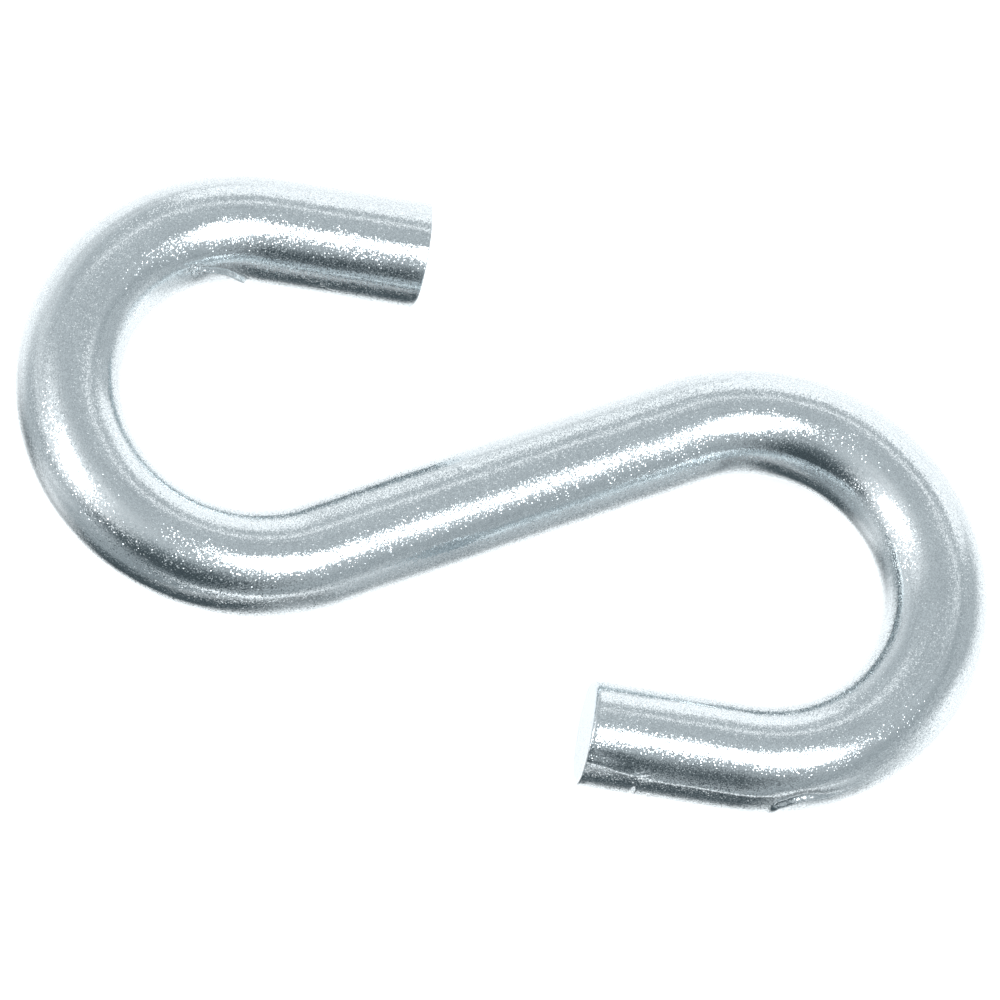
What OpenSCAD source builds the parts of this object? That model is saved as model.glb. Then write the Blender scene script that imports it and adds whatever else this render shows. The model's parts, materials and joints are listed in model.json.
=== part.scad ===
// Safety chain hook: an S-hook, cold-bent from one length of round steel bar.
// The S lies flat in the XY plane with its thickness along Z. +X is the load line, which
// runs through the centres of both bends, and the origin is the middle of the shank.

/* [Bar] */
// Diameter of the round bar
bar_d = 11.1; // [8:0.1:14]
// Width of the broken edge round each cut end
edge_break = 0.4; // [0.2:0.1:1]

/* [Bends] */
// Inside diameter of each bend, where the chain link sits
bend_inside_d = 26.5; // [20:0.5:36]
// Angle that the bar turns through in each bend, in degrees
bend_angle = 209; // [190:0.5:214]
// How much the bar's radius swells where it is bent
bend_swell = 0.02; // [0.01:0.01:0.1]

/* [Straights] */
// Length of the straight shank between the two bends
shank_length = 42; // [30:0.5:60]
// Length of the straight leg from each bend to its cut end
leg_length = 16.5; // [12:0.5:22]

/* [Hidden] */
// Facets round the bar, and round a full ring of the bend's radius
bar_fn = 96;
ring_fn = 180;
bar_r = bar_d / 2;
bent_bar_r = bar_r + bend_swell;
// Radius of the bar's centre line in a bend
bend_r = bend_inside_d / 2 + bent_bar_r;
// Turn about Z that brings both bend centres onto the X axis
load_angle = atan2(bend_r, shank_length / 2);
// How far a straight runs on into a bend, so that the two are one solid
lap = 0.2;

// The straight shank along X, centred on the origin
module shank() {
    rotate([0, 90, 0])
        cylinder(r = bar_r, h = shank_length + 2 * lap, center = true, $fn = bar_fn);
}

// One bend about its own centre: the bar leaves the top heading for +X and turns
// clockwise through bend_angle
module bend() {
    rotate_extrude(angle = bend_angle, start = 90 - bend_angle, $fn = ring_fn)
        translate([bend_r, 0])
            circle(r = bent_bar_r, $fn = bar_fn);
}

// One leg along +X from the end of its bend, with a broken edge round its cut end
module leg() {
    break_at = leg_length - edge_break;
    rotate([0, 90, 0]) {
        translate([0, 0, -lap])
            cylinder(r = bar_r, h = lap + break_at, $fn = bar_fn);
        translate([0, 0, break_at])
            cylinder(r1 = bar_r, r2 = bar_r - edge_break, h = edge_break, $fn = bar_fn);
    }
}

// One end of the S, carrying on from the +X end of the shank: the bend, then its leg
module hook_end() {
    translate([shank_length / 2, -bend_r, 0]) {
        bend();
        rotate([0, 0, -bend_angle])
            translate([0, bend_r, 0])
                leg();
    }
}

// The whole bar: the shank with a hook at each end, half a turn from each other
module hook_bar() {
    color("lightsteelblue")
        rotate([0, 0, load_angle]) {
            shank();
            for (turn = [0, 180])
                rotate([0, 0, turn])
                    hook_end();
        }
}

hook_bar();
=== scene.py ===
"""Safety chain hook: the looks of an S-hook cold-bent from zinc-plated round bar.

The hook is one bar, so it is one swept surface. Every point of that surface has two
parameters: how far along the bar it is, and how far round the bar. The marks that drawing,
shearing, bending and plating leave are functions of the same two parameters.
"""

import json
import logging
import math
from dataclasses import dataclass, field
from enum import Enum
from typing import Any

import bpy
import numpy as np
from mathutils import Matrix, Vector


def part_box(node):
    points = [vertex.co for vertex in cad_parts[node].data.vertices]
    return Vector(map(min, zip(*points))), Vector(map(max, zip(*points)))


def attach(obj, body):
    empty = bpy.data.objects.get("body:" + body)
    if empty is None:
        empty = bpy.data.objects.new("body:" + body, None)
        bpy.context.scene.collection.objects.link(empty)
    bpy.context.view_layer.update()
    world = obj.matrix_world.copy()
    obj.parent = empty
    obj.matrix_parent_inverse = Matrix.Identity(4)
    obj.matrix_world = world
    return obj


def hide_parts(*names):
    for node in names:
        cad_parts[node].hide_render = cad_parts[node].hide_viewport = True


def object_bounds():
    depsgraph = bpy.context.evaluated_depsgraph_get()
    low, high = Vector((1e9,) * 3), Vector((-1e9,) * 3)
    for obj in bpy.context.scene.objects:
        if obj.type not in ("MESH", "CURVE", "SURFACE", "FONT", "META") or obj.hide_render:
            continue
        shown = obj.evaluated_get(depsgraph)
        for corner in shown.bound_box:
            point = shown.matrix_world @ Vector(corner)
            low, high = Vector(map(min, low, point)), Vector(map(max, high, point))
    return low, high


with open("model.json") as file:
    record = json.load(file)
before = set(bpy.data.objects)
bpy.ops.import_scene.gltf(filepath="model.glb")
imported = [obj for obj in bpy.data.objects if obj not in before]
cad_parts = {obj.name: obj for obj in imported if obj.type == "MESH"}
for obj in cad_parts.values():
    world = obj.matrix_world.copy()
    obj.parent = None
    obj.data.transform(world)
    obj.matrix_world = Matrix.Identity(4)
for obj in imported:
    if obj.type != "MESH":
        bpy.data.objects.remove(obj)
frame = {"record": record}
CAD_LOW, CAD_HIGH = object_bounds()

log = logging.getLogger("safety_chain_hook")

MM = 0.001
"""One millimetre in metres. Sizes below are in millimetres until they reach a mesh."""

NODE = "hook_bar"
"""The CAD node that the bar replaces."""

EDGE_BREAK = 0.4
"""Width of the broken edge that the CAD bar has round each cut end."""

Array = np.ndarray
Colour = tuple[float, float, float]


# --------------------------------------------------------------------------------------
# The bar's centre line
# --------------------------------------------------------------------------------------


@dataclass(frozen=True)
class BentLine:
    """Centre line of the S: a straight shank with a bend and a straight leg at each end.

    Positions along it are in millimetres from the middle of the shank, so the two halves
    are the same with the sign turned, as the S is the same after half a turn.
    """

    bar_r: float
    bent_r: float
    bend_r: float
    centre_x: float
    shank_angle: float
    bend_angle: float
    leg_length: float

    @classmethod
    def from_record(cls, record: dict[str, Any], edge_break: float) -> "BentLine":
        """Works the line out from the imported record's mounts and the CAD node's box.

        The seat's place less its radius is the bend's centre. The bend's radius over
        that distance is the sine of the shank's angle, and the leg's heading gives the
        angle that the bar turns through.

        Args:
            record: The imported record.
            edge_break: Width of the broken edge round each cut end.

        Returns:
            The centre line, in millimetres and radians.
        """
        mounts = {m["name"]: m for m in record["mounts"]}
        seat, leg = mounts["link_seat_right"], mounts["leg_end_right"]
        bent_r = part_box(NODE)[1].z / MM
        bend_r = seat["dims"]["r_mm"] + bent_r
        centre_x = seat["pos_m"][0] / MM - seat["dims"]["r_mm"]
        shank_angle = math.asin(bend_r / centre_x)
        heading = math.atan2(leg["axis"][1], leg["axis"][0])
        return cls(
            bar_r=leg["dims"]["r_mm"],
            bent_r=bent_r,
            bend_r=bend_r,
            centre_x=centre_x,
            shank_angle=shank_angle,
            bend_angle=(shank_angle - heading) % math.tau,
            leg_length=leg["dims"]["length_mm"] + edge_break,
        )

    @property
    def shank_half(self) -> float:
        """Half the straight shank's length."""
        return self.centre_x * math.cos(self.shank_angle)

    @property
    def bend_end(self) -> float:
        """Where a bend ends and its leg starts."""
        return self.shank_half + self.bend_r * self.bend_angle

    @property
    def half(self) -> float:
        """Half the whole bar's length, which is where the cut end is."""
        return self.bend_end + self.leg_length

    def turned(self, along: Array) -> Array:
        """Angle that the bar has turned through from the shank, 0 to the bend's angle."""
        return np.clip((np.abs(along) - self.shank_half) / self.bend_r, 0, self.bend_angle)

    def heading(self, along: Array) -> Array:
        """Direction of the bar in the XY plane: the shank's angle less the turn."""
        return self.shank_angle - self.turned(along)

    def point(self, along: Array) -> Array:
        """Points on the centre line.

        Each is the straight run of the shank, plus the chord of the arc turned so far,
        plus the straight run of the leg, with the sign of the half that it is on.

        Args:
            along: Distances from the middle of the shank.

        Returns:
            An array of x and y, one row for each distance.
        """
        reach, turned, head = np.abs(along), self.turned(along), self.heading(along)
        start = self.shank_angle
        shank = np.minimum(reach, self.shank_half)
        leg = np.maximum(reach - self.bend_end, 0)
        x = shank * math.cos(start) + leg * np.cos(head)
        y = shank * math.sin(start) + leg * np.sin(head)
        x = x + self.bend_r * (math.sin(start) - np.sin(start - turned))
        y = y + self.bend_r * (np.cos(start - turned) - math.cos(start))
        return np.stack([x, y], -1) * np.sign(along)[..., None]

    def bend_share(self, along: Array, blend: float = 0.22) -> Array:
        """How fully bent the bar is: 0 on the straights, 1 in a bend, smooth between.

        Args:
            along: Distances along the bar.
            blend: Angle over which a bend comes in at each of its ends, in radians.

        Returns:
            Shares, each the smooth step 3s2 - 2s3 of the angle over the blend.
        """
        turned = self.turned(along)
        inside = np.minimum(turned, self.bend_angle - turned)
        share = np.clip(inside / blend, 0, 1)
        return share * share * (3 - 2 * share)

    def inner_angle(self, along: Array) -> Array:
        """Angle round the bar of the bend's inside: half a turn on the right half."""
        return np.where(along > 0, math.pi, 0.0)


# --------------------------------------------------------------------------------------
# Marks in the bar's surface
# --------------------------------------------------------------------------------------


def rise(x: Array) -> Array:
    """A smooth step from 0 to 1 as x passes 0: the logistic curve, level far out."""
    return 1 / (1 + np.exp(np.clip(-x, -60, 60)))


class MarkShape(Enum):
    """How a mark stands in the surface."""

    NICK = "nick"
    NOTCH = "notch"
    SCRATCH = "scratch"
    RIDGE = "ridge"
    FLAKE = "flake"
    TORN = "torn"


@dataclass(frozen=True)
class Mark:
    """One mark: where it is on the bar, its size in millimetres, and its skew in degrees.

    Around is the angle from the hook's plane towards +Z, from the bar's left side as it
    runs from the left leg to the right one. Width is round the bar before the skew. A
    negative length turns the mark end for end.
    """

    shape: MarkShape
    along: float
    around: float
    length: float
    width: float
    depth: float
    skew: float = 0.0

    def height(self, along: Array, around: Array, radius: float) -> Array:
        """How far the mark lifts the surface, negative where it cuts in.

        a and b are the distances along and across the mark over its half sizes, and the
        shape gives the profile over them.

        Args:
            along: Distances along the bar.
            around: Angles round the bar, in radians.
            radius: The bar's radius.

        Returns:
            Heights in millimetres.
        """
        arc = np.angle(np.exp(1j * (around - math.radians(self.around)))) * radius
        step = along - self.along
        turn = math.radians(self.skew)
        a = (step * math.cos(turn) + arc * math.sin(turn)) / (self.length / 2)
        b = (arc * math.cos(turn) - step * math.sin(turn)) / (self.width / 2)
        profiles = {
            MarkShape.NICK: self.nick,
            MarkShape.NOTCH: self.notch,
            MarkShape.SCRATCH: self.scratch,
            MarkShape.RIDGE: self.ridge,
            MarkShape.FLAKE: self.flake,
            MarkShape.TORN: self.torn,
        }
        return self.depth * profiles[self.shape](a, b)

    @staticmethod
    def nick(a: Array, b: Array) -> Array:
        """A bell exp(-a2 - b2) pushed in, with a low rim where its slope ends."""
        square = a**2 + b**2
        return np.exp(-square) * (0.9 * square - 1)

    @staticmethod
    def notch(a: Array, b: Array) -> Array:
        """A narrow cut across the bar, deepest in the middle of its width."""
        return -np.exp(-(b**4)) * np.exp(-(np.abs(a) ** 3))

    @staticmethod
    def scratch(a: Array, b: Array) -> Array:
        """A thin ridge that wavers from side to side, beside a shallow groove.

        Args:
            a: Distances along the mark over half its length.
            b: Distances across the mark over half its width.

        Returns:
            Heights over the mark's depth: a bell across it, less a lower one beside it.
        """
        b = b - 0.7 * np.sin(3.1 * a + 0.4) - 0.3 * np.sin(9.0 * a)
        ends = np.exp(-((a / 0.9) ** 6)) * (0.75 + 0.25 * np.sin(14.0 * a + 2.0))
        return ends * (np.exp(-(b**2)) - 0.7 * np.exp(-((b + 1.7) ** 2)))

    @staticmethod
    def ridge(a: Array, b: Array) -> Array:
        """A long low corner along the bar: it falls away from b = 0 by an exponential.

        Args:
            a: Distances along the mark over half its length.
            b: Distances across the mark over half its width.

        Returns:
            Heights over the mark's depth, with a smooth step at each end.
        """
        b = b - 0.10 * np.sin(3.0 * a) - 0.03 * np.sin(8.0 * a + 1.0)
        ends = rise((1 - a) * 14) * rise((1 + a) * 14)
        return ends * np.exp(-np.sqrt(b**2 + 0.04))

    @staticmethod
    def flake(a: Array, b: Array) -> Array:
        """A flap of metal dragged up by the bending tool, with a ragged free edge.

        It climbs along a, and drops sheer past its end at a = 1 and past its edge, which
        wavers about b = 0 and curves down towards the end. Away from the edge it fades.

        Args:
            a: Distances along the mark over half its length.
            b: Distances across the mark over half its width.

        Returns:
            Heights over the mark's depth: the sheet and its lip, less the gap past its edge.
        """
        edge = 0.06 * np.sin(5.0 * a) + 0.012 * np.sin(21.0 * a + 1.0)
        edge = edge - 0.75 * np.maximum(a - 0.3, 0) ** 1.5
        past = b - edge
        climb = np.clip((a + 1) / 2, 0, 1) ** 0.9
        sheet = rise(-past * 18) * np.exp(-(np.maximum(-past, 0) ** 1.3))
        lip = 0.10 * np.exp(-(((past + 0.10) / 0.10) ** 2))
        gap = 0.12 * np.exp(-(((past - 0.22) / 0.14) ** 2))
        return climb * (sheet + lip - gap) * rise((1 - a) * 45)

    @staticmethod
    def torn(a: Array, b: Array) -> Array:
        """A rough patch: crossed waves under a bell, most of it below the surface.

        Args:
            a: Distances along the mark over half its length.
            b: Distances across the mark over half its width.

        Returns:
            Heights over the mark's depth.
        """
        rough = np.sin(7.1 * a + 3.0 * b) * np.cos(5.3 * b - 2.0 * a + 0.7)
        rough = rough + 0.6 * np.sin(13.0 * a - 6.0 * b + 1.9) * np.cos(9.0 * b + 4.0 * a)
        return np.exp(-((a**2 + b**2) ** 1.5)) * (0.6 * rough - 0.35)


def between(ends: tuple[float, float], share: float) -> float:
    """The number at a share of the way from one end to the other."""
    return float(ends[0] + (ends[1] - ends[0]) * share)


@dataclass(frozen=True)
class Tumbling:
    """Small knocks from tumbling and handling, anywhere on the bar.

    Sizes run from the first number of a pair to the second. Most knocks are short, and
    nearly all are shallow. A narrow one leans one way, and a wide one the other.
    """

    count: int = 60
    seed: int = 11
    from_end: float = 1.0
    lengths: tuple[float, float] = (0.5, 2.1)
    widths: tuple[float, float] = (0.45, 0.8)
    depths: tuple[float, float] = (0.008, 0.038)
    skews: tuple[float, float] = (-35.0, 35.0)

    def nicks(self, half: float) -> tuple[Mark, ...]:
        """Draws the knocks.

        Args:
            half: Half the bar's length.

        Returns:
            The nicks.
        """
        reach = half - self.from_end
        draws = np.random.default_rng(self.seed).random((self.count, 5))
        return tuple(
            Mark(
                MarkShape.NICK,
                along=between((-reach, reach), d[0]),
                around=between((0.0, 360.0), d[1]),
                length=between(self.lengths, d[2] ** 2),
                width=between(self.widths, d[3]),
                depth=between(self.depths, d[4] ** 3),
                skew=between(self.skews, d[3]),
            )
            for d in draws
        )


@dataclass(frozen=True)
class Waviness:
    """Shallow unevenness of drawn and bent bar: a sum of slow waves along and round it."""

    height: float = 0.011
    longest: float = 30.0
    shortest: float = 7.0
    waves: int = 26
    lobe_limit: int = 5
    seed: int = 7

    def field(self, along: Array, around: Array) -> Array:
        """Sum of cosines, each of its own wavelength, lobes round the bar and phase.

        Args:
            along: Distances along the bar, a column.
            around: Angles round the bar, a row.

        Returns:
            Heights in millimetres on the grid.
        """
        rng = np.random.default_rng(self.seed)
        wavelength = self.shortest * (self.longest / self.shortest) ** rng.random(self.waves)
        lobes = rng.integers(0, self.lobe_limit, self.waves)
        phase = rng.random(self.waves) * math.tau
        turns = along[..., None] * (math.tau / wavelength) + around[..., None] * lobes
        return self.height * np.cos(turns + phase).sum(-1) / math.sqrt(self.waves)


# --------------------------------------------------------------------------------------
# Node graphs
# --------------------------------------------------------------------------------------


class Graph:
    """A node tree with short ways to add a node, join sockets and place the nodes."""

    def __init__(self, tree: bpy.types.NodeTree) -> None:
        """Takes the tree over and empties it.

        Args:
            tree: The node tree of a material or of the world.
        """
        self.tree = tree
        self.tree.nodes.clear()
        self.count = 0

    def add(self, kind: str, label: str = "", **values: Any) -> bpy.types.Node:
        """Adds a node.

        Args:
            kind: The node's type, such as ShaderNodeTexNoise.
            label: A short note of what the node is for.
            values: Properties of the node, by name.

        Returns:
            The new node.
        """
        node = self.tree.nodes.new(kind)
        node.label = label
        node.location = (self.count % 12 * 190, -(self.count // 12) * 320)
        self.count += 1
        for name, value in values.items():
            setattr(node, name, value)
        return node

    def feed(self, node: bpy.types.Node, **inputs: Any) -> bpy.types.Node:
        """Sets or links a node's inputs.

        Args:
            node: The node that takes the inputs.
            inputs: Input names with underscores for spaces, or i0, i1 for their places;
                each value is a number, a colour, a vector or an output socket.

        Returns:
            The same node.
        """
        for name, value in inputs.items():
            by_place = name[0] == "i" and name[1:].isdigit()
            socket = node.inputs[int(name[1:]) if by_place else name.replace("_", " ")]
            if isinstance(value, bpy.types.NodeSocket):
                self.tree.links.new(value, socket)
            else:
                socket.default_value = value
        return node

    def math(self, operation: str, a: Any, b: Any = 0.0, clamp: bool = False) -> Any:
        """One sum on two numbers or sockets.

        Args:
            operation: The sum, by the node's own name for it.
            a: First number or socket.
            b: Second number or socket.
            clamp: Whether the result is held between 0 and 1.

        Returns:
            The output socket.
        """
        node = self.add("ShaderNodeMath", operation.lower(), operation=operation)
        node.use_clamp = clamp
        return self.feed(node, i0=a, i1=b).outputs[0]

    def vector(self, operation: str, a: Any, b: Any) -> Any:
        """One sum on two vectors or sockets, and its output socket."""
        node = self.add("ShaderNodeVectorMath", operation.lower(), operation=operation)
        return self.feed(node, i0=a, i1=b).outputs[0]

    def ramp(self, value: Any, low: float, high: float, to: tuple[float, float]) -> Any:
        """A smooth step of a value.

        Args:
            value: The number or socket.
            low: Value that the step starts at.
            high: Value that the step ends at.
            to: Results at the start and at the end.

        Returns:
            The output socket.
        """
        node = self.add("ShaderNodeMapRange", "step", interpolation_type="SMOOTHSTEP")
        self.feed(node, i0=value, i1=low, i2=high, i3=to[0], i4=to[1])
        return node.outputs[0]

    def noise(self, where: Any, scale: float, detail: float, label: str, **more: Any) -> Any:
        """A noise texture.

        Args:
            where: Socket of the place.
            scale: The texture's scale.
            detail: The texture's detail.
            label: A short note of what the noise is for.
            more: Other inputs of the node, by name.

        Returns:
            The value's socket.
        """
        node = self.add("ShaderNodeTexNoise", label)
        self.feed(node, Vector=where, Scale=scale, Detail=detail, **more)
        return node.outputs[0]

    def mix(self, share: Any, a: Any, b: Any) -> Any:
        """A blend of two colours.

        Args:
            share: Share of the second colour, as a number or socket.
            a: First colour or socket.
            b: Second colour or socket.

        Returns:
            The output socket.
        """
        node = self.add("ShaderNodeMix", "mix", data_type="RGBA")
        four = [v if isinstance(v, bpy.types.NodeSocket) else (*v[:3], 1.0) for v in (a, b)]
        return self.feed(node, i0=share, i6=four[0], i7=four[1]).outputs[2]


# --------------------------------------------------------------------------------------
# Finishes
# --------------------------------------------------------------------------------------


@dataclass(frozen=True)
class ZincPlate:
    """Bright zinc plate on drawn steel bar.

    Patterns are laid out on the bar as it was before bending: the attribute "drawn" holds
    each point's place on the straight bar, in millimetres, with x along it. Drawn lines are
    noise stretched along x, and the plate's grain is small cells, each a facet tilted its
    own way. The attribute "pressed" is how hard the bending tool bore on the surface, and
    "cut" is 1 on the sheared ends, where the plate is duller.

    Heights and the facets' size are in millimetres, and scales are per millimetre. A
    stretch is what x is multiplied by, and a tilt is a share of the normal's length.
    """

    bright: Colour = (0.860, 0.926, 0.946)
    dull: Colour = (0.590, 0.638, 0.661)
    sheared: Colour = (0.76, 0.83, 0.865)
    rough: tuple[float, float] = (0.085, 0.135)
    rough_cloud: tuple[float, float] = (0.75, 1.25)
    sheared_rough: float = 0.26
    facet_size: float = 0.092
    even_tilt: float = 0.038
    stray_tilt: float = 0.56
    stray_power: float = 2.5
    stray_share: tuple[float, float] = (0.5, 1.0)
    stray_cloud: tuple[float, float] = (0.35, 0.65)
    cloud_scale: float = 0.16
    line_scale: float = 1.3
    line_stretch: float = 0.014
    score_scale: float = 2.6
    score_stretch: float = 0.03
    score_cut: tuple[float, float] = (0.60, 0.70)
    ripple_scale: float = 2.6
    ripple_height: float = 0.0018
    line_height: float = 0.0014
    pressed_lines: float = 7.0
    score_height: float = 0.0018
    slow_shade: float = 0.35
    score_shade: float = 0.3

    def material(self) -> bpy.types.Material:
        """Builds the finish.

        Returns:
            The material, with its pattern nodes on the bar's own coordinates.
        """
        made = bpy.data.materials.new("bright_zinc_plate")
        made.use_nodes = True
        g = Graph(made.node_tree)
        drawn = g.add("ShaderNodeAttribute", "straight bar", attribute_name="drawn")
        drawn = drawn.outputs["Vector"]
        pressed = g.add("ShaderNodeAttribute", "bending tool", attribute_name="pressed")
        pressed = pressed.outputs["Fac"]
        sheared = g.add("ShaderNodeAttribute", "sheared end", attribute_name="cut")
        sheared = sheared.outputs["Fac"]

        cloud = g.noise(drawn, self.cloud_scale, 4.0, "cloudy plate")
        stretch = g.vector("MULTIPLY", drawn, (self.line_stretch, 1.0, 1.0))
        lines = g.noise(stretch, self.line_scale, 3.0, "drawn lines", Roughness=0.6)
        thin = g.vector("MULTIPLY", drawn, (self.score_stretch, 1.0, 1.0))
        scores = g.noise(thin, self.score_scale, 2.0, "scores")
        scores = g.ramp(scores, *self.score_cut, (0.0, 1.0))
        ripple = g.noise(drawn, self.ripple_scale, 2.0, "ripple of the plate")

        cells = g.add("ShaderNodeTexVoronoi", "plate grain")
        g.feed(cells, Vector=drawn, Scale=1 / self.facet_size, Randomness=1.0)
        facet = self.facet(g, cells.outputs["Color"], cloud)

        more = g.math("MULTIPLY", pressed, self.line_height * self.pressed_lines)
        more = g.math("ADD", more, self.line_height)
        height = g.math("MULTIPLY", lines, more)
        height = g.math("ADD", height, g.math("MULTIPLY", ripple, self.ripple_height))
        height = g.math("SUBTRACT", height, g.math("MULTIPLY", scores, self.score_height))
        bump = g.add("ShaderNodeBump", "lines and ripple")
        g.feed(bump, Strength=1.0, Distance=MM, Height=height, Normal=facet)

        number = g.add("ShaderNodeSeparateColor", "grain shade")
        g.feed(number, Color=cells.outputs["Color"])
        slow = g.math("MULTIPLY", g.math("ADD", lines, cloud), self.slow_shade)
        shade = g.math("ADD", number.outputs[0], slow)
        shade = g.math("SUBTRACT", shade, g.math("MULTIPLY", scores, self.score_shade))
        shade = g.math("SUBTRACT", shade, self.slow_shade, clamp=True)
        colour = g.mix(sheared, g.mix(shade, self.dull, self.bright), self.sheared)
        rough = g.ramp(g.math("ADD", cloud, lines), *self.rough_cloud, self.rough)
        rough = g.math("MAXIMUM", rough, g.math("MULTIPLY", sheared, self.sheared_rough))

        shader = g.add("ShaderNodeBsdfPrincipled", "zinc")
        g.feed(
            shader,
            Base_Color=colour,
            Metallic=1.0,
            Roughness=rough,
            Normal=bump.outputs[0],
        )
        out = g.add("ShaderNodeOutputMaterial", "surface")
        g.feed(out, Surface=shader.outputs[0])
        return made

    def facet(self, g: Graph, random: Any, cloud: Any) -> Any:
        """Normal of a grain: the surface's own, tilted by the cell's random vector.

        Most grains tilt a little. The tilt grows with a high power of one of the cell's
        numbers, so a few stray ones flash away from where the rest do.

        Args:
            g: The finish's node graph.
            random: Socket of the cell's random colour.
            cloud: Socket of the cloudy pattern, which varies how many are stray.

        Returns:
            Socket of the normal.
        """
        normal = g.add("ShaderNodeNewGeometry", "surface").outputs["Normal"]
        split = g.add("ShaderNodeSeparateColor", "random")
        g.feed(split, Color=random)
        stray = g.math("POWER", split.outputs[2], self.stray_power)
        stray = g.math("MULTIPLY", stray, g.ramp(cloud, *self.stray_cloud, self.stray_share))
        size = g.math("MULTIPLY_ADD", stray, self.stray_tilt)
        g.feed(size.node, i2=self.even_tilt)
        tilt = g.vector("SUBTRACT", random, (0.5, 0.5, 0.5))
        scaled = g.add("ShaderNodeVectorMath", "tilt", operation="SCALE")
        g.feed(scaled, i0=tilt, Scale=size)
        facet = g.add("ShaderNodeVectorMath", "facet", operation="NORMALIZE")
        g.feed(facet, i0=g.vector("ADD", normal, scaled.outputs[0]))
        return facet.outputs[0]


@dataclass(frozen=True)
class FloorFinish:
    """Plain matt white floor: a light table, lit a little from below."""

    colour: Colour = (0.86, 0.86, 0.86)
    lit: float = 0.60
    rough: float = 0.9

    def material(self) -> bpy.types.Material:
        """Builds the floor's finish: one rough colour, and its own even light.

        Returns:
            The material.
        """
        made = bpy.data.materials.new("matt_white_floor")
        made.use_nodes = True
        g = Graph(made.node_tree)
        shader = g.add("ShaderNodeBsdfPrincipled", "white")
        g.feed(shader, Base_Color=(*self.colour, 1.0), Roughness=self.rough)
        g.feed(shader, Specular_IOR_Level=0.0)
        g.feed(shader, Emission_Color=(1.0, 1.0, 1.0, 1.0), Emission_Strength=self.lit)
        g.feed(g.add("ShaderNodeOutputMaterial", "surface"), Surface=shader.outputs[0])
        return made


# --------------------------------------------------------------------------------------
# The bar
# --------------------------------------------------------------------------------------


def weave(rows: int, columns: int) -> Array:
    """Quads between neighbouring rows of a grid whose columns close on themselves.

    The quad of row i and column j has the corners (i, j), (i, j + 1), (i + 1, j + 1) and
    (i + 1, j), with j + 1 counted round the row.

    Args:
        rows: Rows of points.
        columns: Points in a row.

    Returns:
        An array of four point numbers for each quad.
    """
    i, j = np.meshgrid(np.arange(rows - 1), np.arange(columns), indexing="ij")
    k = (j + 1) % columns
    quads = [i * columns + j, (i + 1) * columns + j, (i + 1) * columns + k, i * columns + k]
    return np.stack(quads, -1).reshape(-1, 4)


def note(mesh: bpy.types.Mesh, name: str, values: Array) -> None:
    """Stores a number or a vector for each of a mesh's points, for the finish to read.

    Args:
        mesh: The mesh.
        name: The attribute's name.
        values: A number for each point, or a row of three.
    """
    kind, key = ("FLOAT", "value") if values.ndim == 1 else ("FLOAT_VECTOR", "vector")
    attribute = mesh.attributes.new(name, kind, "POINT")
    attribute.data.foreach_set(key, values.astype(np.float32).ravel())


Bell = tuple[float, float, float]
"""Place, half width and extra density of a stretch where rings or sides are closer."""

FINE_STEPS = 6000
"""Points that the running sum is taken at."""


def spread(low: float, high: float, count: int, centres: list[Bell], closed: bool) -> Array:
    """Places between two ends, closer together near some centres.

    The density is 1 plus a bell at each centre. The places are equal steps of the
    density's running sum.

    Args:
        low: The first place.
        high: The last place.
        count: How many places.
        centres: The bells.
        closed: Whether the last place meets the first, and is left out.

    Returns:
        The places, in order.
    """
    fine = np.linspace(low, high, FINE_STEPS)
    density = np.ones_like(fine)
    for place, width, extra in centres:
        density += extra * np.exp(-(((fine - place) / width) ** 2))
    total = np.concatenate([[0.0], np.cumsum((density[1:] + density[:-1]) / 2)])
    return np.interp(np.linspace(0, total[-1], count, endpoint=not closed), total, fine)


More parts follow.
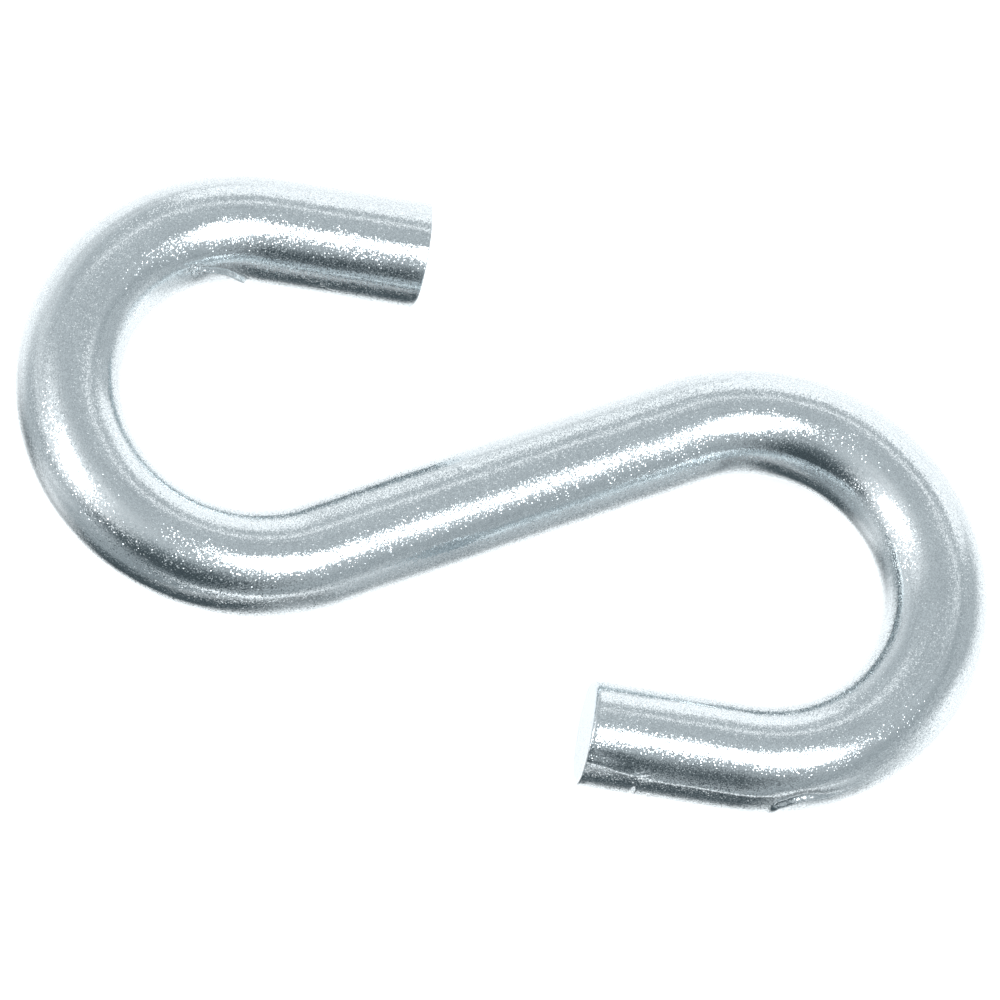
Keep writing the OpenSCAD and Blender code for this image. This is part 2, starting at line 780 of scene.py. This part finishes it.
@dataclass
class HookBar:
    """The bar of the hook, from cut end to cut end, as one closed surface.

    Edges, lean, ripple, thinning and flat are in millimetres. The blade's side and the
    marked side are in degrees round the bar. Wave room is how far the surface is held in
    for its waves. Rings are closer at each mark that isn't shallow: over the mark's reach,
    which is a share of its length and has a least value. The cut step is how steeply the
    sheared finish comes in from the edge of an end face.
    """

    line: BentLine
    finish: ZincPlate
    rings: int = 660
    sides: int = 142
    marked_side: Bell = (10.0, 30.0, 3.2)
    sharp_edge: float = 0.16
    rolled_edge: float = 0.75
    blade_side: float = 125.0
    lean: float = 0.12
    ripple: float = 0.018
    ripple_fade: float = 8.0
    cap_rings: int = 10
    edge_rings: int = 5
    mark_reach: float = 0.6
    mark_least: float = 0.7
    mark_rings: float = 1.6
    shallow: float = 0.025
    wave_room: float = 0.02
    cut_step: float = 30.0
    outer_thinning: float = 0.13
    inner_flat: float = 0.05
    waviness: Waviness = Waviness()
    marks: tuple[Mark, ...] = ()
    piece: bpy.types.Object | None = field(default=None, init=False)

    def body_places(self) -> Array:
        """Distances along the bar of the rings between the two edges.

        Returns:
            The distances, closer together at each mark that isn't shallow.
        """
        reach = self.line.half - self.rolled_edge
        bells = [
            (m.along, max(abs(m.length) * self.mark_reach, self.mark_least), self.mark_rings)
            for m in self.marks
            if abs(m.depth) > self.shallow
        ]
        return spread(-reach, reach, self.rings, bells, closed=False)

    def end_grid(self, around: Array) -> tuple[Array, Array]:
        """Rings of the right end, from the edge's start to the last before the middle.

        Shearing rolls the edge over on the side that the blade met, so the edge's radius
        follows a squared cosine round the bar. The face leans back a little from that
        side and is rough across, by waves over its height.

        Args:
            around: Angles round the bar.

        Returns:
            Distances along the bar, and shares of the radius, for each ring and angle.
        """
        line = self.line
        met = np.maximum(np.cos(around - math.radians(self.blade_side)), 0) ** 2
        edge = (self.sharp_edge + (self.rolled_edge - self.sharp_edge) * met)[None, :]
        turn = np.linspace(0, math.pi / 2, self.edge_rings + 1)[:, None]
        along = line.half - edge * (1 - np.sin(turn))
        share = 1 - edge / line.bar_r * (1 - np.cos(turn))
        fall = np.linspace(1.0, 0.0, self.cap_rings + 1)[1:-1, None]
        share = np.concatenate([share, share[-1:] * fall])
        along = np.concatenate([along, np.repeat(along[-1:], len(fall), 0)])
        return along - self.face_relief(share, around), share

    def face_relief(self, share: Array, around: Array) -> Array:
        """How far the end face lies behind the end plane: a lean, and torn ripples.

        The lean grows evenly towards the blade's side. The ripples are two sines of the
        place on the face, and fade out at its edge.

        Args:
            share: Shares of the radius.
            around: Angles round the bar.

        Returns:
            Distances in millimetres.
        """
        up = share * np.cos(around - math.radians(self.blade_side))
        side = share * np.sin(around - math.radians(self.blade_side))
        ripple = np.sin(9.0 * up + 1.3 * side) + 0.6 * np.sin(17.0 * up - 2.2 * side + 1.0)
        faded = np.clip((1 - share) * self.ripple_fade, 0, 1)
        return self.lean * (1 + up) / 2 + self.ripple * (1.6 + ripple) * faded

    def radius(self, along: Array, around: Array) -> Array:
        """Radius of the bar's surface: the drawn round, and what bending does to it.

        The outside of a bend is stretched thinner by a squared cosine lobe, and the
        inside is pressed flat against the bending pin by a narrower one. The marks and
        the waviness are added, and nothing stands outside the bar's own size.

        Args:
            along: Distances along the bar, on the grid.
            around: Angles round the bar, a row.

        Returns:
            Radii in millimetres on the grid.
        """
        line = self.line
        bent = line.bend_share(along)
        round_bar = line.bar_r + (line.bent_r - line.bar_r) * bent
        inward = np.cos(around - line.inner_angle(along))
        thinning = self.outer_thinning * np.maximum(-inward, 0) ** 2
        flat = self.inner_flat * np.maximum(inward, 0) ** 8
        lifted = self.waviness.field(along, around) - self.wave_room
        for mark in self.marks:
            lifted = lifted + mark.height(along, around, line.bar_r)
        return round_bar - bent * (thinning + flat) + lifted

    def grid(self) -> tuple[Array, Array, Array]:
        """Parameters of the surface's points: a row for each ring, a column for each side.

        The left end is the right one after half a turn, and runs the other way.

        Returns:
            Distances along the bar and shares of the radius, for each row and column, and
            the columns' angles round the bar.
        """
        side, half_width, extra = self.marked_side
        bell = (math.radians(side), math.radians(half_width), extra)
        around = spread(-math.pi, math.pi, self.sides, [bell], closed=True)
        right, share = self.end_grid(around)
        left, left_share = self.end_grid(around + math.pi)
        body = np.repeat(self.body_places()[1:-1, None], self.sides, 1)
        along = np.concatenate([-left[::-1], body, right])
        share = np.concatenate([left_share[::-1], np.ones_like(body), share])
        return along, share, around

    def points(self, along: Array, out: Array, z: Array, ends: Array) -> Array:
        """Places of the grid's points, and then of the middles of both end faces.

        A place is the centre line's point, plus out along the line's left-hand normal,
        plus z along +Z. None is outside the CAD model's box.

        Args:
            along: Distances along the bar.
            out: Distances from the centre line in the hook's plane.
            z: Heights over the hook's plane.
            ends: Distances along the bar of the two middles.

        Returns:
            The places, in metres.
        """
        heading, centre = self.line.heading(along), self.line.point(along)
        x = centre[..., 0] - out * np.sin(heading)
        y = centre[..., 1] + out * np.cos(heading)
        middles = np.column_stack([self.line.point(ends), [0.0, 0.0]])
        places = np.concatenate([np.stack([x, y, z], -1).reshape(-1, 3), middles])
        low, high = np.array(CAD_LOW) / MM, np.array(CAD_HIGH) / MM
        return np.clip(places, low, high) * MM

    @staticmethod
    def faces(rows: int, columns: int) -> list[list[int]]:
        """Faces of the closed surface.

        Args:
            rows: Rings of points.
            columns: Points in a ring.

        Returns:
            Point numbers of the quads between the rings, and of a fan of triangles round
            the middle of each end face.
        """
        j = np.arange(columns)
        k = (j + 1) % columns
        left = rows * columns
        right, last_ring = left + 1, left - columns
        near = np.stack([np.full(columns, left), j, k], -1)
        far = np.stack([np.full(columns, right), last_ring + k, last_ring + j], -1)
        return [*weave(rows, columns).tolist(), *near.tolist(), *far.tolist()]

    def build(self) -> bpy.types.Object:
        """Makes the piece, with the attributes that its finish is laid out by.

        Returns:
            The piece, its place in its mesh.
        """
        line = self.line
        along, share, around = self.grid()
        rho = self.radius(along, around[None, :]) * share
        out, z = rho * np.cos(around), rho * np.sin(around)
        middle = line.half - float(self.face_relief(np.zeros(1), np.zeros(1))[0])
        ends = np.array([-middle, middle])

        mesh = bpy.data.meshes.new("zinc_hook")
        places = self.points(along, out, z, ends)
        mesh.from_pydata(places.tolist(), [], self.faces(*rho.shape))
        mesh.polygons.foreach_set("use_smooth", np.ones(len(mesh.polygons), bool))

        straight = np.stack([along, out, z], -1).reshape(-1, 3)
        inward = np.maximum(np.cos(around - line.inner_angle(along)), 0)
        sheared = np.clip((1 - share) * self.cut_step - 0.5, 0, 1)
        on_axis = np.column_stack([ends, [0.0, 0.0], [0.0, 0.0]])
        note(mesh, "drawn", np.concatenate([straight, on_axis]))
        note(mesh, "pressed", np.append(line.bend_share(along) * inward, [0.0, 0.0]))
        note(mesh, "cut", np.append(sheared, [1.0, 1.0]))
        mesh.update()
        self.piece = bpy.data.objects.new("zinc_hook", mesh)
        bpy.context.scene.collection.objects.link(self.piece)
        return self.piece

    def dress(self) -> None:
        """Gives the piece its finish and its place in the frame."""
        self.piece.data.materials.append(self.finish.material())
        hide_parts("hook_bar")
        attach(self.piece, "root")


# --------------------------------------------------------------------------------------
# The studio
# --------------------------------------------------------------------------------------


# Light of the middle level has these shares of red and blue. Each doubling from there adds
# the change, up to one doubling, and nothing counts as darker than the darkest.
MIDDLE_LEVEL = 0.54
DARKEST_LEVEL = 0.02
MIDDLE_RED, RED_CHANGE = 0.93, 0.06
MIDDLE_BLUE, BLUE_CHANGE = 1.044, -0.03


def cool(level: float) -> Colour:
    """Colour of a brightness: shade is bluer and light is whiter, by its logarithm.

    Args:
        level: The brightness.

    Returns:
        Red, green and blue, of which the green is the brightness itself.
    """
    stops = min(math.log2(max(level, DARKEST_LEVEL) / MIDDLE_LEVEL), 1.0)
    red = level * (MIDDLE_RED + RED_CHANGE * stops)
    return red, level, level * (MIDDLE_BLUE + BLUE_CHANGE * stops)


def direction(azimuth: float, elevation: float) -> Vector:
    """Direction from the hook, in degrees: azimuth 0 is towards -Y, and 90 towards +X."""
    a, e = math.radians(azimuth), math.radians(elevation)
    return Vector((math.sin(a) * math.cos(e), -math.cos(a) * math.cos(e), math.sin(e)))


@dataclass(frozen=True)
class Patch:
    """One patch of the room round the hook: a soft box, a wall, a flag or a window.

    It has a direction and half sizes in degrees, and a brightness. Its edge is a smooth
    step, over the share of its half size that softness gives.
    """

    name: str
    azimuth: float
    elevation: float
    half_width: float
    half_height: float
    brightness: float
    softness: float = 0.6
    turn: float = 0.0
    square: bool = False

    def apply(self, g: Graph, ray: Any, under: Any) -> Any:
        """Lays the patch over what is under it.

        The ray is moved and turned to the patch's own axes and divided by its half
        sizes, as chords, so that the patch is where its length is under 1. A square patch
        takes the length of the squares instead, which bounds it by a rounded square.

        Args:
            g: The world's node graph.
            ray: Socket of the direction looked in.
            under: Socket of the brightness so far.

        Returns:
            Socket of the brightness with the patch on it.
        """
        towards = direction(self.azimuth, self.elevation)
        turned = towards.to_track_quat("Z", "Y").to_matrix()
        turned = turned @ Matrix.Rotation(math.radians(self.turn), 3, "Z")
        local = g.add("ShaderNodeMapping", self.name, vector_type="TEXTURE")
        size = [2 * math.sin(math.radians(h) / 2) for h in (self.half_width, self.half_height)]
        g.feed(
            local,
            Vector=ray,
            Location=towards,
            Rotation=turned.to_euler(),
            Scale=(size[0], size[1], 1.0),
        )
        place = local.outputs[0]
        if self.square:
            place = g.vector("MULTIPLY", place, place)
        length = g.add("ShaderNodeVectorMath", "length", operation="LENGTH")
        g.feed(length, i0=place)
        share = g.ramp(length.outputs["Value"], 1 - self.softness, 1.0, (1.0, 0.0))
        return g.mix(share, under, cool(self.brightness))


@dataclass
class Studio:
    """The floor, and the room that lights the hook and shows in the plate."""

    floor_finish: FloorFinish
    floor_z: float
    patches: tuple[Patch, ...]
    floor_size: float = 12.0
    floor_corners: int = 64
    upper: float = 0.575
    lower: float = 1.25
    horizon: tuple[float, float] = (-0.434, 0.119)
    seen: float = 1.0

    def build_floor(self) -> bpy.types.Object:
        """Makes the floor, a disc that the hook lies on, under it by a hair.

        Returns:
            The floor.
        """
        corners = np.linspace(0, math.tau, self.floor_corners, endpoint=False)
        ring = np.stack([np.cos(corners), np.sin(corners), 0 * corners], -1)
        points = ring * self.floor_size / 2 + [0, 0, self.floor_z]
        mesh = bpy.data.meshes.new("floor")
        mesh.from_pydata(points.tolist(), [], [list(range(self.floor_corners))])
        mesh.materials.append(self.floor_finish.material())
        floor = bpy.data.objects.new("floor", mesh)
        bpy.context.scene.collection.objects.link(floor)
        floor.visible_glossy = False
        return floor

    def build_room(self) -> None:
        """Makes the room's light: even above, paler below, with the patches over it."""
        world = bpy.data.worlds.new("studio_room")
        bpy.context.scene.world = world
        world.use_nodes = True
        g = Graph(world.node_tree)
        ray = g.add("ShaderNodeTexCoord", "ray").outputs["Object"]
        split = g.add("ShaderNodeSeparateXYZ", "height")
        g.feed(split, Vector=ray)
        rise = g.ramp(split.outputs["Z"], *self.horizon, (0.0, 1.0))
        level = g.mix(rise, cool(self.lower), cool(self.upper))
        for patch in self.patches:
            level = patch.apply(g, ray, level)
        path = g.add("ShaderNodeLightPath", "seen by the camera").outputs["Is Camera Ray"]
        shown = g.mix(path, level, (self.seen,) * 3)
        background = g.add("ShaderNodeBackground", "room")
        g.feed(background, Color=shown)
        g.feed(g.add("ShaderNodeOutputWorld", "room"), Surface=background.outputs[0])

    def build(self) -> None:
        """Makes the floor and the room, and sets the plain view transform."""
        self.build_floor()
        self.build_room()
        settings = bpy.context.scene.view_settings
        settings.view_transform = "Standard"
        settings.look = "None"


@dataclass(frozen=True)
class ProductCamera:
    """A long lens that looks down on the hook."""

    azimuth: float = -4.17
    elevation: float = 65.46
    roll: float = 24.72
    distance: float = 1.387
    aim: tuple[float, float] = (0.0, -0.0009)
    lens: float = 483.0
    sensor: float = 36.0
    clip: tuple[float, float] = (0.05, 30.0)

    def build(self) -> bpy.types.Object:
        """Makes the camera and sets it as the scene's.

        It starts level, looking at the aim point from its azimuth and elevation, and
        turns about its own axis by the roll.

        Returns:
            The camera.
        """
        data = bpy.data.cameras.new("product_camera")
        data.lens, data.sensor_width = self.lens, self.sensor
        data.clip_start, data.clip_end = self.clip
        camera = bpy.data.objects.new("product_camera", data)
        back = direction(self.azimuth, self.elevation)
        level = back.to_track_quat("Z", "Y").to_matrix().to_4x4()
        place = Vector((*self.aim, 0.0)) + back * self.distance
        roll = Matrix.Rotation(math.radians(self.roll), 4, "Z")
        camera.matrix_world = Matrix.Translation(place) @ level @ roll
        bpy.context.scene.collection.objects.link(camera)
        bpy.context.scene.camera = camera
        return camera


# --------------------------------------------------------------------------------------
# The whole scene
# --------------------------------------------------------------------------------------

# Each patch lies over the ones before it. Its first four numbers are degrees: azimuth,
# elevation, half width and half height.
PATCHES = (
    Patch("far_table", 195, -15, 95, 35, brightness=1.25, softness=0.8, turn=15),
    Patch("window", 173, 10, 31, 25, brightness=1.24, softness=0.2, turn=5, square=True),
    Patch("doorway", 204, -8, 8, 21, brightness=1.2, softness=0.3),
    Patch("ceiling_seam", 176, 53, 44, 4, brightness=1.2, softness=0.5, turn=3),
    Patch("dark_front", -30, -10, 90, 40, brightness=0.25, softness=0.3, turn=55),
    Patch("near_side", 0, 15, 60, 30, brightness=0.09, softness=0.8, turn=10),
    Patch("right_wall", 60, 17, 99, 8, brightness=0.46, softness=0.1, turn=-147),
    Patch("table_front", 0, -55, 100, 30, brightness=0.1, softness=0.7, turn=35),
    Patch("left_wall", -60, -15, 60, 35, brightness=0.55, softness=0.6, turn=0),
    Patch("front_right", 55, -35, 40, 12, brightness=0.04, softness=1, turn=115),
    Patch("left_panel", -105, 10, 100, 13, brightness=0.8, softness=0.5, turn=5),
    Patch("right_corner", 70, -20, 30, 60, brightness=0.5, softness=1, turn=-20),
    Patch("left_corner", -60, -40, 16, 50, brightness=1.1, softness=1, turn=-10),
    Patch("left_front", -25, -25, 55, 19, brightness=0.4, softness=1, turn=25),
    Patch("right_side", 100, -15, 35, 25, brightness=1.35, softness=1, turn=-70),
    Patch("front_shade", -5, -15, 19, 25, brightness=0.35, softness=0.6, turn=-65),
    Patch("table_edge", 26, -12, 44, 6, brightness=1.7, softness=0.95),
    Patch("key_spill_low", -70, 20, 25, 15, brightness=1.15, softness=1, turn=-45),
    Patch("key_spill_high", -70, 50, 30, 35, brightness=1.1, softness=1, turn=-30),
    Patch("right_gap", 80, -20, 20, 13, brightness=0.85, softness=0.9, turn=50),
    Patch("underside", -20, -85, 12, 16, brightness=1.15, softness=1, turn=-20),
    Patch("key_spill_right", -45, 25, 15, 35, brightness=1.05, softness=1, turn=135),
    Patch("key_spill_left", -70, 40, 20, 35, brightness=1, softness=0.6, turn=105),
    Patch("key_box", -62, 37, 20, 11, brightness=5.2, softness=0.45, turn=-64),
    Patch("fill_box", 53, 61, 15, 21, brightness=5.2, softness=0.45, turn=1),
)

# The marks that stand out. The rest are the knocks of Tumbling.
MARKS = (
    Mark(MarkShape.FLAKE, along=83.3, around=20, length=6.4, width=4.2, depth=0.55, skew=4),
    Mark(MarkShape.FLAKE, along=-82.4, around=19, length=-11.2, width=2.6, depth=0.56, skew=19),
    Mark(MarkShape.TORN, along=-79.2, around=29, length=3.4, width=1.4, depth=0.16, skew=19),
    Mark(MarkShape.RIDGE, along=93.0, around=24, length=13.0, width=1.3, depth=0.13, skew=-1),
    Mark(MarkShape.RIDGE, along=103.4, around=32, length=6.0, width=1.3, depth=0.13, skew=10),
    Mark(MarkShape.TORN, along=99.9, around=29, length=2.2, width=1.5, depth=0.035),
    Mark(MarkShape.NOTCH, along=100.4, around=-14, length=0.32, width=3.4, depth=0.50),
    Mark(MarkShape.NOTCH, along=98.8, around=-12, length=0.30, width=1.5, depth=0.12),
    Mark(MarkShape.NICK, along=103.5, around=45, length=7.0, width=1.8, depth=0.05, skew=6),
    Mark(MarkShape.SCRATCH, along=-96.5, around=5, length=2.4, width=0.34, depth=0.03, skew=14),
    Mark(MarkShape.SCRATCH, along=95.0, around=131, length=20, width=0.5, depth=-0.02, skew=-1),
    Mark(MarkShape.NICK, along=26.5, around=56, length=1.3, width=0.6, depth=0.16),
    Mark(MarkShape.NICK, along=-4.6, around=65, length=1.3, width=0.9, depth=-0.03),
)


def main() -> None:
    """Builds the camera, the studio and the hook in order."""
    logging.basicConfig(level=logging.INFO, format="%(name)s: %(message)s")
    ProductCamera().build()
    log.info("camera in place")

    under_hook = 0.02 * MM
    studio = Studio(FloorFinish(), floor_z=CAD_LOW.z - under_hook, patches=PATCHES)
    studio.build()
    log.info("studio: floor and %d patches of light", len(PATCHES))

    line = BentLine.from_record(frame["record"], EDGE_BREAK)
    log.info("bar: %.1f mm long before bending", 2 * line.half)
    bar = HookBar(line, ZincPlate(), marks=MARKS + Tumbling().nicks(line.half))
    piece = bar.build()
    bar.dress()
    log.info("%s: %d points", piece.name, len(piece.data.vertices))


if __name__ == "__main__":
    main()
